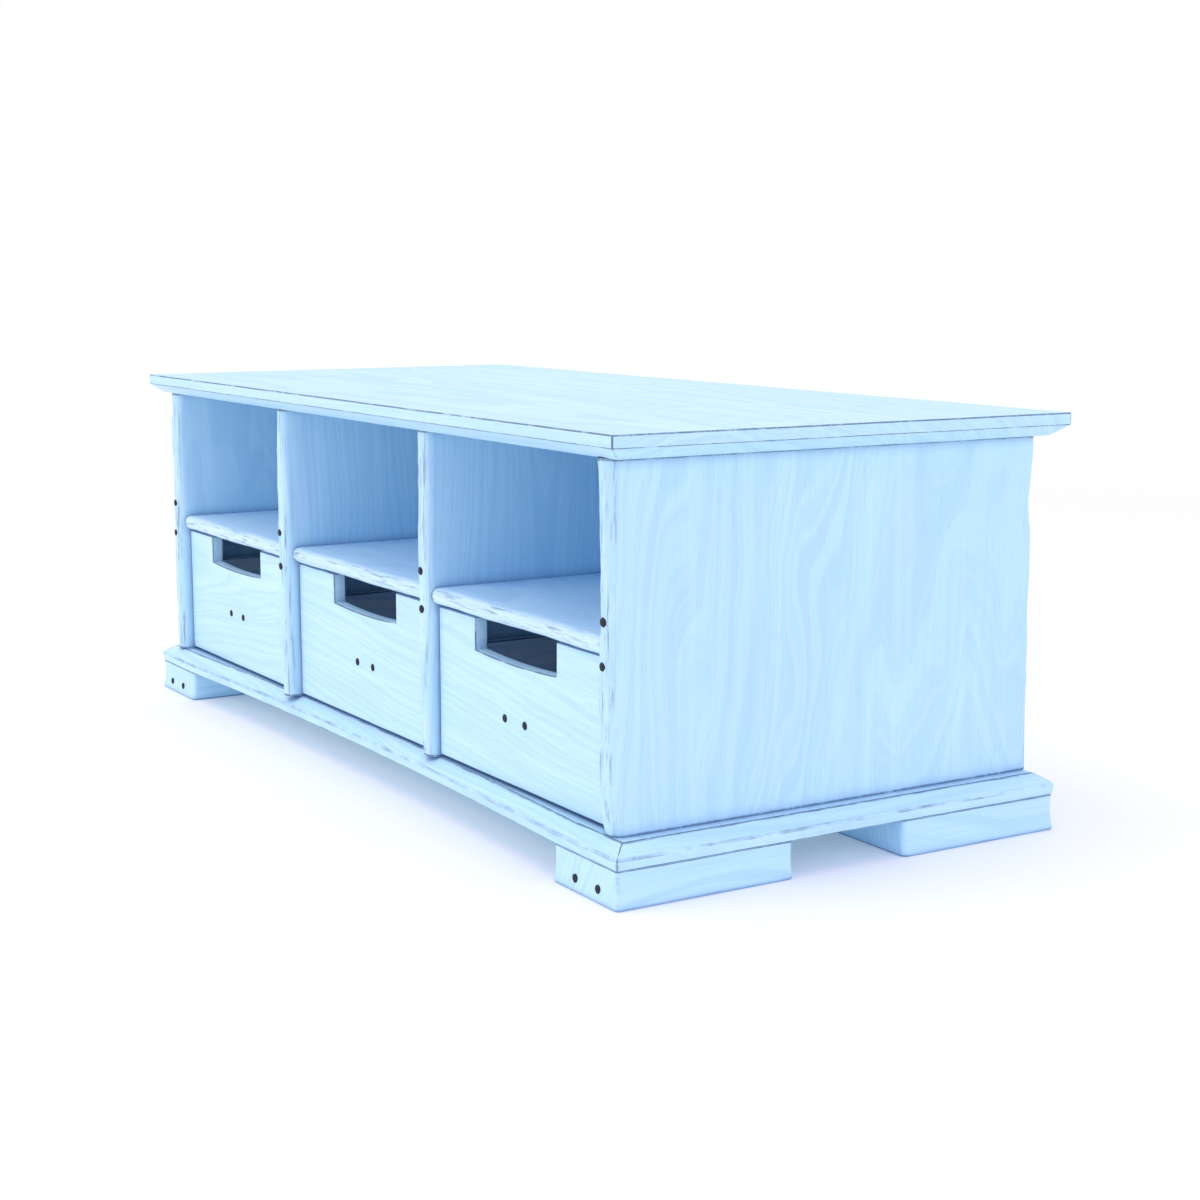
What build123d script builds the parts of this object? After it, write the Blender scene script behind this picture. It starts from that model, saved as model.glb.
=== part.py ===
"""Low console in solid wood: three open bays over three drawers, on a moulded plinth.

Millimetres. +Z up, +X to the right, the drawers open towards -Y.
The origin is the centre of the footprint, on the floor.
"""

from build123d import *
import math
import os

# ---- driving dimensions -------------------------------------------------
TOP_WIDTH = 1200
TOP_DEPTH = 550
TOP_THICKNESS = 24
TOP_EDGE = 12.5          # upright part of the top's edge, above the under-bevel
TOP_BEVEL_INSET = 15.5
OVERALL_HEIGHT = 436

CARCASS_WIDTH = 1143     # over the two end slabs
SLAB_THICKNESS = 25
SLAB_FRONT = -259        # mean line of the waney front edges
SLAB_BACK = 257          # mean line of the waney back edges
SLAB_ROUNDING = 11

BOARD_WIDTH = 1167       # bottom board, inside the plinth moulding
BOARD_DEPTH = 505.4
BOARD_THICKNESS = 16
PLINTH_HEIGHT = 60
NOSE_OUT = 17.2          # how far the moulding stands out from the bottom board
NOSE_FLAT = 0.2          # the nose is planed back by this much
RAIL_BOTTOM = 37.8
RAIL_FLANGE = 45         # lip under the bottom board
FOOT_WIDTH = 116.7       # along the front
FOOT_LENGTH = 201.9      # along the ends
CORNER_ROUNDING = 4
BOW_DEPTH = 13              # the plinth's front is bowed in by this much at its middle
BOW_REACH = 480             # and runs straight again beyond this, at the feet
FOOT_ROUNDING = 6

SHELF_TOP = 245
SHELF_THICKNESS = 18
SHELF_FRONT = -250
SHELF_ROUNDING = 8
HOUSING = 6              # depth of every groove cut into the slabs
HOUSING_FRONT = -232     # the shelf's groove stops short of the slab's front edge here
HOUSING_SLACK = 0.2

BACK_FRONT_FACE = 236
BACK_THICKNESS = 10

FRONT_FACE = -243        # outer face of the drawer fronts
FRONT_THICKNESS = 15
FRONT_BOTTOM = 63
FRONT_TOP = 225
SIDE_GAP = 1.2           # between a drawer and the slabs beside it
BOX_BACK = 192
BOX_TOP = 183
BOX_WALL = 12
BOX_INSET = 1            # the sides stand in from the ends of the front by this much
FRONT_GROOVE = 5         # depth of the grooves that hold the sides in the front
PANEL_BOTTOM = 70        # underside of a drawer's bottom panel
PANEL_THICKNESS = 6
PANEL_GROOVE = 5
RUNNER_HEIGHT = 3
RUNNING_GAP = 0.2        # between a drawer's sides and its runners
STOP_SPACING = 220
STOP_WIDTH = 24
STOP_DEPTH = 16
STOP_HEIGHT = 32
NOTCH_WIDTH = 165
NOTCH_BOTTOM = 191
NOTCH_SAG = 3            # the notch's lower edge dips this far in the middle

PEG_RADIUS = 4.5
PEG_PROUD = 1.5          # domed peg heads stand out by this much
PEG_SPACING = 41
FRONT_PEG_HEIGHT = 130
FRONT_PEG_DEPTH = 10
FOOT_PEG_HEIGHT = 13
FOOT_PEG_CENTRE = 545
FOOT_PEG_DEPTH = 22
EDGE_PEG_DEPTH = 26
DOWEL_RADIUS = 5
DOWEL_ROWS = (-180, 0, 180)
DOWEL_IN_SLAB = 24
DOWEL_IN_BOARD = 11      # in the top or in the bottom board
FIT = 0.05               # glue line around dowels, pegs and splines

# ---- sizes that follow ---------------------------------------------------
TOP_UNDERSIDE = OVERALL_HEIGHT - TOP_THICKNESS
PITCH = (CARCASS_WIDTH - SLAB_THICKNESS) / 3
SLAB_CENTRES = [PITCH * step for step in (-1.5, -0.5, 0.5, 1.5)]
BAY_WIDTH = PITCH - SLAB_THICKNESS
BAY_CENTRES = {"left": -PITCH, "middle": 0, "right": PITCH}
SHELF_BOTTOM = SHELF_TOP - SHELF_THICKNESS
SHELF_MIDDLE = (SHELF_TOP + SHELF_BOTTOM) / 2
BOARD_BOTTOM = PLINTH_HEIGHT - BOARD_THICKNESS
NOSE_X = BOARD_WIDTH / 2 + NOSE_OUT
NOSE_Y = BOARD_DEPTH / 2 + NOSE_OUT
BOW_RADIUS = (BOW_REACH ** 2 + BOW_DEPTH ** 2) / (2 * BOW_DEPTH)
BOW_CENTRE_Y = BOW_DEPTH - BOARD_DEPTH / 2 - BOW_RADIUS
FRONT_BACK_FACE = FRONT_FACE + FRONT_THICKNESS
EDGE_PEG_HEIGHTS = (SHELF_MIDDLE - 15, SHELF_MIDDLE - 15 + PEG_SPACING)

# The hand notch of the middle drawer sits right of centre, the other two a little left.
NOTCH_SHIFT = {"left": -8, "middle": 12, "right": -8}

# Waney edges: how far each slab edge stands proud of its mean line at these heights.
WANE_HEIGHTS = (60, 78, 100, 150, 200, 240, 290, 340, 385, 412)
SLAB_EDGES = {
    "left_end_slab": {
        "front": (-1, -0.5, 0, 0.2, 0.5, -0.5, -1, -0.2, -1.2, -2.2),
        "back": (-3, 0, 1.5, 2, 1, -1, 0, 2, 1, -1),
    },
    "left_divider_slab": {
        "front": (0.5, 1, 1.5, 2, 2.3, 2.5, 2.3, 2, 1.5, 0.6),
        "back": (-4, -1, 1, 0, -1.5, 0.5, 2, 1.5, 0, -1),
    },
    "right_divider_slab": {
        "front": (-5, -2.8, -2.3, -1.7, -2.3, -2, -1, -2.3, -2.5, -2.5),
        "back": (-3, 1, 2.5, 1, 0, 1.5, 0.5, -1, 1, 0),
    },
    "right_end_slab": {
        "front": (-6.5, -1.9, 0.3, 0.5, 1.1, 0.2, -0.4, 0.6, 0.9, 3),
        "back": (2, 1.8, 1.5, 1.4, 0.4, -0.8, 0.8, -3.4, -1, -0.2),
    },
}
# Shelf fronts: proud of SHELF_FRONT at even steps from the left slab to the right one.
SHELF_EDGES = {
    "left": (0.5, -1, 0.8, 1.6, -0.4, 0.8, 0),
    "middle": (0, 1.2, -0.6, 0.6, 1.5, -0.8, 0.5),
    "right": (0.8, -0.5, 1.2, 0, -1, 1.4, 0.3),
}


# ---- helpers ---------------------------------------------------------------
def block(x0, x1, y0, y1, z0, z1):
    """Box between two opposite corners."""
    centre = ((x0 + x1) / 2, (y0 + y1) / 2, (z0 + z1) / 2)
    return Pos(*centre) * Box(x1 - x0, y1 - y0, z1 - z0)


def upright_rod(x, y, z0, z1, radius):
    """Cylinder standing along Z."""
    return Pos(x, y, (z0 + z1) / 2) * Cylinder(radius, z1 - z0)


def level_rod(x, z, y0, y1, radius):
    """Cylinder lying along Y."""
    return Pos(x, (y0 + y1) / 2, z) * Rot(90, 0, 0) * Cylinder(radius, y1 - y0)


def peg(x, z, face_y, depth):
    """Dowel peg driven in from the front, its domed head just proud of the face."""
    rod = level_rod(x, z, face_y - PEG_PROUD, face_y + depth, PEG_RADIUS - FIT)
    rim = rod.edges().sort_by(Axis.Y)[0]
    return fillet(rim, PEG_PROUD - 0.2)


def peg_hole(x, z, face_y, depth):
    """Blind hole for a peg, open towards the front."""
    return level_rod(x, z, face_y - 20, face_y + depth + 0.5, PEG_RADIUS)


def at_height(offsets, z):
    """Straight-line reading of a waney edge's offset at height z."""
    stations = list(zip(WANE_HEIGHTS, offsets))
    for (z0, a), (z1, b) in zip(stations, stations[1:]):
        if z0 <= z <= z1:
            return a + (b - a) * (z - z0) / (z1 - z0)
    return 0


def all_of(solids):
    """Several separate solids kept as one group."""
    return Compound(children=list(solids))


# ---- places of the joinery ---------------------------------------------------
def dowel_places():
    """Plan position of each dowel that ties a slab to the top or the bottom board."""
    return [(x, y) for x in SLAB_CENTRES for y in DOWEL_ROWS]


def top_dowel(x, y, radius, slack):
    z0, z1 = TOP_UNDERSIDE - DOWEL_IN_SLAB, TOP_UNDERSIDE + DOWEL_IN_BOARD
    return upright_rod(x, y, z0 - slack, z1 + slack, radius)


def base_dowel(x, y, radius, slack):
    z0, z1 = PLINTH_HEIGHT - DOWEL_IN_BOARD, PLINTH_HEIGHT + DOWEL_IN_SLAB
    return upright_rod(x, y, z0 - slack, z1 + slack, radius)


def edge_pegs_of(name, x, shape):
    """The two pegs, or their holes, in one slab's front edge."""
    front = SLAB_EDGES[name]["front"]
    return [
        shape(x, z, SLAB_FRONT - at_height(front, z), EDGE_PEG_DEPTH) for z in EDGE_PEG_HEIGHTS
    ]


# ---- top ---------------------------------------------------------------------
def top_panel():
    """Flat panel whose edge is upright above and bevelled away below."""
    half_width, half_depth = TOP_WIDTH / 2, TOP_DEPTH / 2
    bevel_top = OVERALL_HEIGHT - TOP_EDGE
    upper = Pos(0, 0, bevel_top) * extrude(
        RectangleRounded(TOP_WIDTH, TOP_DEPTH, 3), TOP_EDGE
    )
    rim = upper.faces().sort_by(Axis.Z)[-1].edges()
    upper = fillet(rim, 1.5)
    lower_profile = RectangleRounded(
        2 * (half_width - TOP_BEVEL_INSET), 2 * (half_depth - TOP_BEVEL_INSET), 3
    )
    lower = loft(
        [
            Pos(0, 0, TOP_UNDERSIDE) * lower_profile,
            Pos(0, 0, bevel_top) * RectangleRounded(TOP_WIDTH, TOP_DEPTH, 3),
        ]
    )
    panel = upper + lower
    for x, y in dowel_places():
        panel -= top_dowel(x, y, DOWEL_RADIUS, 1)
    return panel


# ---- slabs -------------------------------------------------------------------
def slab(name, x, housed_sides):
    """Upright slab with waney, rounded front and back edges.

    housed_sides lists the faces (-1 left, 1 right) grooved for a shelf and a back panel.
    """
    edges = SLAB_EDGES[name]
    front = [(SLAB_FRONT - off, z) for off, z in zip(edges["front"], WANE_HEIGHTS)]
    back = [(SLAB_BACK + off, z) for off, z in zip(edges["back"], WANE_HEIGHTS)]
    outline = [
        Spline(*front),
        Line(front[-1], back[-1]),
        Spline(*reversed(back)),
        Line(back[0], front[0]),
    ]
    face = Plane.YZ * make_face(outline)
    body = Pos(x, 0, 0) * extrude(face, SLAB_THICKNESS / 2, both=True)
    long_edges = body.edges().filter_by(GeomType.BSPLINE)
    body = fillet(long_edges, SLAB_ROUNDING)
    for side in housed_sides:
        wall = x + side * SLAB_THICKNESS / 2
        inner = wall - side * HOUSING
        x0, x1 = min(wall, inner), max(wall, inner)
        body -= block(x0, x1, HOUSING_FRONT, BACK_FRONT_FACE, SHELF_BOTTOM, SHELF_TOP)
        body -= block(
            x0, x1, BACK_FRONT_FACE, BACK_FRONT_FACE + BACK_THICKNESS, PLINTH_HEIGHT, TOP_UNDERSIDE
        )
    for y in DOWEL_ROWS:
        body -= top_dowel(x, y, DOWEL_RADIUS, 1)
        body -= base_dowel(x, y, DOWEL_RADIUS, 1)
    for hole in edge_pegs_of(name, x, peg_hole):
        body -= hole
    return body


# ---- shelves and back --------------------------------------------------------
def shelf(bay):
    """Shelf with a rounded, slightly waney front, housed into the slabs at both ends."""
    centre = BAY_CENTRES[bay]
    half = BAY_WIDTH / 2
    steps = SHELF_EDGES[bay]
    front = [
        (-half + BAY_WIDTH * i / (len(steps) - 1), SHELF_FRONT - off)
        for i, off in enumerate(steps)
    ]
    outline = [
        Spline(*front),
        Line(front[-1], (half, BACK_FRONT_FACE)),
        Line((half, BACK_FRONT_FACE), (-half, BACK_FRONT_FACE)),
        Line((-half, BACK_FRONT_FACE), front[0]),
    ]
    body = Pos(centre, 0, SHELF_BOTTOM) * extrude(make_face(outline), SHELF_THICKNESS)
    nosing = body.edges().filter_by(GeomType.BSPLINE)
    body = fillet(nosing, SHELF_ROUNDING)
    x0, x1 = centre - half - HOUSING + HOUSING_SLACK, centre + half + HOUSING - HOUSING_SLACK
    y0 = HOUSING_FRONT + HOUSING_SLACK
    return body + block(x0, x1, y0, BACK_FRONT_FACE, SHELF_BOTTOM, SHELF_TOP)


def back_panel(bay):
    """Plain board let into grooves in the slabs, from the bottom board to the top."""
    centre = BAY_CENTRES[bay]
    reach = BAY_WIDTH / 2 + HOUSING - HOUSING_SLACK
    y0, y1 = BACK_FRONT_FACE, BACK_FRONT_FACE + BACK_THICKNESS
    return block(centre - reach, centre + reach, y0, y1, PLINTH_HEIGHT, TOP_UNDERSIDE)


# ---- plinth ------------------------------------------------------------------
def moulding_edge(half_size, side):
    """Outer outline of the plinth on one side, from the bottom board's edge to the floor."""

    def point(out, z):
        return (side * (half_size + out), z)

    nose_tip = NOSE_OUT - 0.1
    return [
        Line(point(0, PLINTH_HEIGHT), point(15.2, 50.6)),
        ThreePointArc(point(15.2, 50.6), point(nose_tip, 48.9), point(NOSE_OUT, 46.5)),
        ThreePointArc(point(NOSE_OUT, 46.5), point(14.9, 27), point(17, 4)),
        ThreePointArc(point(17, 4), point(16.9, 1.3), point(16, 0)),
    ]


def moulded_prism(half_size, length):
    """Section with the moulding on both sides, drawn in XZ and run along Y."""
    right = moulding_edge(half_size, 1)
    left = moulding_edge(half_size, -1)
    crown = Line((-half_size, PLINTH_HEIGHT), (half_size, PLINTH_HEIGHT))
    sole = Line((-half_size - 16, 0), (half_size + 16, 0))
    section = Plane.XZ * make_face(right + left + [crown, sole])
    return extrude(section, length / 2, both=True)


def bow_waste(outline):
    """What the bow takes off the plinth's front: all that lies outside an outline.

    The outline runs downwards in XZ, X being the distance from the bow's centre.
    """
    top, bottom = outline[0] @ 0, outline[-1] @ 1
    outer = BOW_RADIUS - 40
    frame = [
        Line(bottom, (outer, bottom.Y)),
        Line((outer, bottom.Y), (outer, top.Y)),
        Line((outer, top.Y), top),
    ]
    section = Plane.XZ * make_face(outline + frame)
    half_turn = math.degrees(math.asin((BOW_REACH + 40) / BOW_RADIUS))
    ring = revolve(section, Axis.Z, 2 * half_turn)
    return Pos(0, BOW_CENTRE_Y, 0) * Rot(0, 0, 90 - half_turn) * ring


def bowed_moulding_waste():
    moulding = moulding_edge(-BOW_RADIUS, -1)
    start = Line((BOW_RADIUS, PLINTH_HEIGHT + 1), moulding[0] @ 0)
    end = Line(moulding[-1] @ 1, (BOW_RADIUS - 16, -1))
    return bow_waste([start] + moulding + [end])


def bowed_board_waste():
    return bow_waste([Line((BOW_RADIUS, PLINTH_HEIGHT + 1), (BOW_RADIUS, BOARD_BOTTOM - 1))])


def plinth_body():
    """Solid plinth, moulded on all four sides, with rounded corners and a bowed front."""
    along_depth = moulded_prism(BOARD_WIDTH / 2, 2 * NOSE_Y + 20)
    along_width = Rot(0, 0, 90) * moulded_prism(BOARD_DEPTH / 2, 2 * NOSE_X + 20)
    footprint = RectangleRounded(
        2 * (NOSE_X - NOSE_FLAT), 2 * (NOSE_Y - NOSE_FLAT), CORNER_ROUNDING
    )
    straight = along_depth & along_width & extrude(footprint, PLINTH_HEIGHT)
    return straight - bowed_moulding_waste()


def foot_screw_places(sign_x, sign_y):
    return [(sign_x * 510, sign_y * 235), (sign_x * 560, sign_y * 120)]


CORNERS = {
    "front_left": (-1, -1),
    "front_right": (1, -1),
    "back_left": (-1, 1),
    "back_right": (1, 1),
}


def foot_screw(x, y):
    """Countersunk wood screw driven up through a foot and a rail into the bottom board."""
    shank = upright_rod(x, y, 10, 55, 2.25)
    head = Pos(x, y, 8.5) * Cone(4.5, 2.25, 3)
    return shank + head


def foot_screw_hole(x, y):
    counterbore = upright_rod(x, y, -1, 7, 5)
    seat = Pos(x, y, 8.5) * Cone(4.6, 2.3, 3)
    return counterbore + seat + upright_rod(x, y, 9, 55.5, 2.3)


def corner_spline(corner, slack):
    """Thin loose tongue across a mitre, lying flat and set square to the joint."""
    sign_x, sign_y = CORNERS[corner]
    turn = 45 * sign_x * sign_y
    x = sign_x * (BOARD_WIDTH / 2 + 5)
    y = sign_y * (BOARD_DEPTH / 2 + 5)
    plate = Box(7 + 2 * slack, 16 + 2 * slack, 3 + 2 * slack)
    return Pos(x, y, PLINTH_HEIGHT - 12) * Rot(0, 0, turn) * plate


def base_rail(side, body):
    """One moulded rail, mitred at both ends and rebated for the bottom board."""
    half_x, half_y = BOARD_WIDTH / 2, BOARD_DEPTH / 2
    out, inward = NOSE_OUT + 10, RAIL_FLANGE + 10
    outer = [(-half_x - out, -half_y - out), (half_x + out, -half_y - out)]
    inner = [(half_x - inward, -half_y + inward), (-half_x + inward, -half_y + inward)]
    if side in ("left", "right"):
        outer = [(-half_x - out, half_y + out), (-half_x - out, -half_y - out)]
        inner = [(-half_x + inward, -half_y + inward), (-half_x + inward, half_y - inward)]
    turn = 180 if side in ("back", "right") else 0
    wedge = Rot(0, 0, turn) * extrude(make_face(Polyline(*outer, *inner, close=True)), 100)
    rail = body & wedge & block(-700, 700, -400, 400, RAIL_BOTTOM, PLINTH_HEIGHT)
    rebate = block(-half_x, half_x, -half_y, half_y, BOARD_BOTTOM, PLINTH_HEIGHT + 0.9)
    if side == "front":
        rebate -= bowed_board_waste()
    rail -= rebate
    rail -= block(
        -half_x + RAIL_FLANGE,
        half_x - RAIL_FLANGE,
        -half_y + RAIL_FLANGE,
        half_y - RAIL_FLANGE,
        0,
        PLINTH_HEIGHT,
    )
    for corner, (sign_x, sign_y) in CORNERS.items():
        if side in corner:
            rail -= corner_spline(corner, FIT)
            for x, y in foot_screw_places(sign_x, sign_y):
                rail -= foot_screw_hole(x, y)
    return rail


def foot(corner, body):
    """Corner block under the rails; its two outer faces carry on the moulding."""
    sign_x, sign_y = CORNERS[corner]
    footprint = Pos(
        sign_x * (NOSE_X - FOOT_WIDTH / 2), sign_y * (NOSE_Y - FOOT_LENGTH / 2)
    ) * RectangleRounded(FOOT_WIDTH, FOOT_LENGTH, FOOT_ROUNDING)
    solid = body & extrude(footprint, RAIL_BOTTOM)
    for x, y in foot_screw_places(sign_x, sign_y):
        solid -= foot_screw_hole(x, y)
    if sign_y < 0:
        for x in foot_peg_places(sign_x):
            solid -= peg_hole(x, FOOT_PEG_HEIGHT, foot_peg_face(), FOOT_PEG_DEPTH)
    return solid


def foot_peg_places(sign_x):
    return [sign_x * FOOT_PEG_CENTRE + step * PEG_SPACING / 2 for step in (-1, 1)]


def foot_peg_face():
    """Where the hollow of the moulding lies at the height of the foot pegs."""
    return -(BOARD_DEPTH / 2 + 15.7)


def bottom_board():
    """Board the slabs stand on; its edge meets the top of the plinth moulding."""
    board = block(
        -BOARD_WIDTH / 2,
        BOARD_WIDTH / 2,
        -BOARD_DEPTH / 2,
        BOARD_DEPTH / 2,
        BOARD_BOTTOM,
        PLINTH_HEIGHT,
    )
    board -= bowed_board_waste()
    for x, y in dowel_places():
        board -= base_dowel(x, y, DOWEL_RADIUS, 1)
    for sign_x, sign_y in CORNERS.values():
        for x, y in foot_screw_places(sign_x, sign_y):
            board -= foot_screw_hole(x, y)
    return board


# ---- drawers -----------------------------------------------------------------
def box_span(bay):
    """Ends of a drawer front, left and right."""
    half = BAY_WIDTH / 2 - SIDE_GAP
    return BAY_CENTRES[bay] - half, BAY_CENTRES[bay] + half


def drawer_side_blocks(bay, grow):
    """Left and right sides of a drawer box; grow widens them where they cut a groove."""
    left, right = box_span(bay)
    outer = [left + BOX_INSET, right - BOX_INSET - BOX_WALL]
    front_end = FRONT_BACK_FACE - FRONT_GROOVE
    bottom = FRONT_BOTTOM + RUNNING_GAP
    return [
        block(x - grow, x + BOX_WALL + grow, front_end, BOX_BACK, bottom, BOX_TOP) for x in outer
    ]


def bottom_panel_block(bay, grow):
    """Bottom panel, held in grooves on three sides and passing under the back."""
    left, right = box_span(bay)
    wall = BOX_INSET + BOX_WALL - PANEL_GROOVE
    return block(
        left + wall - grow,
        right - wall + grow,
        FRONT_BACK_FACE - PANEL_GROOVE - grow,
        BOX_BACK,
        PANEL_BOTTOM,
        PANEL_BOTTOM + PANEL_THICKNESS,
    )


def front_peg_places(bay):
    centre = BAY_CENTRES[bay] + NOTCH_SHIFT[bay]
    return [centre - PEG_SPACING / 2, centre + PEG_SPACING / 2]


def drawer_front(bay):
    """Front board with a hand notch, open at the top, whose lower edge sags a little."""
    left, right = box_span(bay)
    front = block(left, right, FRONT_FACE, FRONT_BACK_FACE, FRONT_BOTTOM, FRONT_TOP)
    front = fillet(front.edges().filter_by(Axis.Z), 0.8)
    centre = BAY_CENTRES[bay] + NOTCH_SHIFT[bay]
    x0, x1 = centre - NOTCH_WIDTH / 2, centre + NOTCH_WIDTH / 2
    outline = [
        ThreePointArc(
            (x0, NOTCH_BOTTOM), (centre, NOTCH_BOTTOM - NOTCH_SAG), (x1, NOTCH_BOTTOM)
        ),
        Line((x1, NOTCH_BOTTOM), (x1, FRONT_TOP + 5)),
        Line((x1, FRONT_TOP + 5), (x0, FRONT_TOP + 5)),
        Line((x0, FRONT_TOP + 5), (x0, NOTCH_BOTTOM)),
    ]
    notch = Pos(0, FRONT_FACE, 0) * extrude(Plane.XZ * make_face(outline), 40, both=True)
    front -= notch
    rim = front.edges().group_by(Axis.Y)[0] + front.edges().group_by(Axis.Y)[-1]
    notch_rim = [
        edge
        for edge in rim
        if x0 - 1 < edge.center().X < x1 + 1 and edge.center().Z > NOTCH_BOTTOM - NOTCH_SAG - 1
    ]
    front = fillet(notch_rim, 1.5)
    for side in drawer_side_blocks(bay, FIT):
        front -= side
    front -= bottom_panel_block(bay, FIT)
    for x in front_peg_places(bay):
        front -= peg_hole(x, FRONT_PEG_HEIGHT, FRONT_FACE, FRONT_PEG_DEPTH)
    return front


def drawer_sides(bay):
    """Side boards, their top edges eased, grooved for the bottom panel."""
    panel = bottom_panel_block(bay, FIT)
    sides = []
    for board in drawer_side_blocks(bay, 0):
        top_edges = board.edges().filter_by(Axis.Y).group_by(Axis.Z)[-1]
        sides.append(fillet(top_edges, 1.5) - panel)
    return sides


def drawer_back(bay):
    left, right = box_span(bay)
    wall = BOX_INSET + BOX_WALL
    z0 = PANEL_BOTTOM + PANEL_THICKNESS
    return block(left + wall, right - wall, BOX_BACK - BOX_WALL, BOX_BACK, z0, BOX_TOP)


def runners(bay):
    """Two thin hardwood strips on the bottom board, under the drawer's sides."""
    left, right = box_span(bay)
    width = BOX_WALL + 2
    y0, y1 = FRONT_BACK_FACE + 3, BOX_BACK + 8
    z0, z1 = PLINTH_HEIGHT, PLINTH_HEIGHT + RUNNER_HEIGHT
    return [
        block(x0, x1, y0, y1, z0, z1) for x0, x1 in ((left, left + width), (right - width, right))
    ]


def stops(bay):
    """Two blocks behind a drawer that set how far in it goes."""
    y0, y1 = BOX_BACK, BOX_BACK + STOP_DEPTH
    z0, z1 = PLINTH_HEIGHT, PLINTH_HEIGHT + STOP_HEIGHT
    lefts = [BAY_CENTRES[bay] + side * STOP_SPACING / 2 - STOP_WIDTH / 2 for side in (-1, 1)]
    return [block(x, x + STOP_WIDTH, y0, y1, z0, z1) for x in lefts]


# ---- all the nodes -----------------------------------------------------------
def carcass_nodes():
    nodes = {"top_panel": top_panel()}
    housed = {
        "left_end_slab": (1,),
        "left_divider_slab": (-1, 1),
        "right_divider_slab": (-1, 1),
        "right_end_slab": (-1,),
    }
    for (name, sides), x in zip(housed.items(), SLAB_CENTRES):
        nodes[name] = slab(name, x, sides)
    for bay in BAY_CENTRES:
        nodes[bay + "_shelf"] = shelf(bay)
        nodes[bay + "_back_panel"] = back_panel(bay)
        nodes[bay + "_runners"] = all_of(runners(bay))
        nodes[bay + "_stops"] = all_of(stops(bay))
    nodes["top_dowels"] = all_of(
        top_dowel(x, y, DOWEL_RADIUS - FIT, 0) for x, y in dowel_places()
    )
    nodes["base_dowels"] = all_of(
        base_dowel(x, y, DOWEL_RADIUS - FIT, 0) for x, y in dowel_places()
    )
    edge_pegs = []
    for name, x in zip(SLAB_EDGES, SLAB_CENTRES):
        edge_pegs += edge_pegs_of(name, x, peg)
    nodes["slab_edge_pegs"] = all_of(edge_pegs)
    return nodes


def plinth_nodes():
    body = plinth_body()
    nodes = {"bottom_board": bottom_board()}
    for side in ("front", "back", "left", "right"):
        nodes[side + "_base_rail"] = base_rail(side, body)
    screws = []
    foot_pegs = []
    for corner, (sign_x, sign_y) in CORNERS.items():
        nodes[corner + "_foot"] = foot(corner, body)
        screws += [foot_screw(x, y) for x, y in foot_screw_places(sign_x, sign_y)]
        if sign_y < 0:
            face = foot_peg_face()
            for x in foot_peg_places(sign_x):
                foot_pegs.append(peg(x, FOOT_PEG_HEIGHT, face, FOOT_PEG_DEPTH))
    nodes["mitre_splines"] = all_of(corner_spline(corner, 0) for corner in CORNERS)
    nodes["foot_screws"] = all_of(screws)
    nodes["foot_pegs"] = all_of(foot_pegs)
    return nodes


def drawer_nodes(bay):
    left_side, right_side = drawer_sides(bay)
    name = bay + "_drawer_"
    return {
        name + "front": drawer_front(bay),
        name + "left_side": left_side,
        name + "right_side": right_side,
        name + "back": drawer_back(bay),
        name + "bottom": bottom_panel_block(bay, 0),
        name + "pegs": all_of(
            peg(x, FRONT_PEG_HEIGHT, FRONT_FACE, FRONT_PEG_DEPTH) for x in front_peg_places(bay)
        ),
    }


def main():
    nodes = carcass_nodes()
    nodes.update(plinth_nodes())
    for bay in BAY_CENTRES:
        nodes.update(drawer_nodes(bay))
    os.makedirs("parts", exist_ok=True)
    for name, shape in nodes.items():
        export_step(shape, f"parts/{name}.step")


main()
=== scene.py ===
import math

import bmesh
import bpy
import numpy as np
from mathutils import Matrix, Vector


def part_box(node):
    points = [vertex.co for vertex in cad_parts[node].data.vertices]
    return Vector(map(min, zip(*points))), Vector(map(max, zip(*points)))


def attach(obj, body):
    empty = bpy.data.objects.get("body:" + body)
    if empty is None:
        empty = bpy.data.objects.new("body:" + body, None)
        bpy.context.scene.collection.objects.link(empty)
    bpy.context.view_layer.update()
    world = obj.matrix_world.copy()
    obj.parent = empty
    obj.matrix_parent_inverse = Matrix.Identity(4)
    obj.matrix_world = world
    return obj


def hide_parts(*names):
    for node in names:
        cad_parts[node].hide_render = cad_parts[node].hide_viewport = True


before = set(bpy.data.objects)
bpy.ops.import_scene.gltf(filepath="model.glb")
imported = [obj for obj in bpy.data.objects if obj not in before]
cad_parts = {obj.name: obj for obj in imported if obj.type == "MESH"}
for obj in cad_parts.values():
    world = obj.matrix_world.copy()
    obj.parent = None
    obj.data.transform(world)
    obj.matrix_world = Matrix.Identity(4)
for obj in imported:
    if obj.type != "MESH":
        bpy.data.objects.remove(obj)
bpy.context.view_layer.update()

# The looks of a low console in painted solid wood: upright slabs with waney edges, a bevelled top,
# rounded shelves, drawers with hand notches and a moulded plinth. Metres throughout.

MM = 0.001
BAYS = ("left", "middle", "right")
SLABS = ("left_end_slab", "left_divider_slab", "right_divider_slab", "right_end_slab")
CORNERS = ("front_left", "front_right", "back_left", "back_right")

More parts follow.
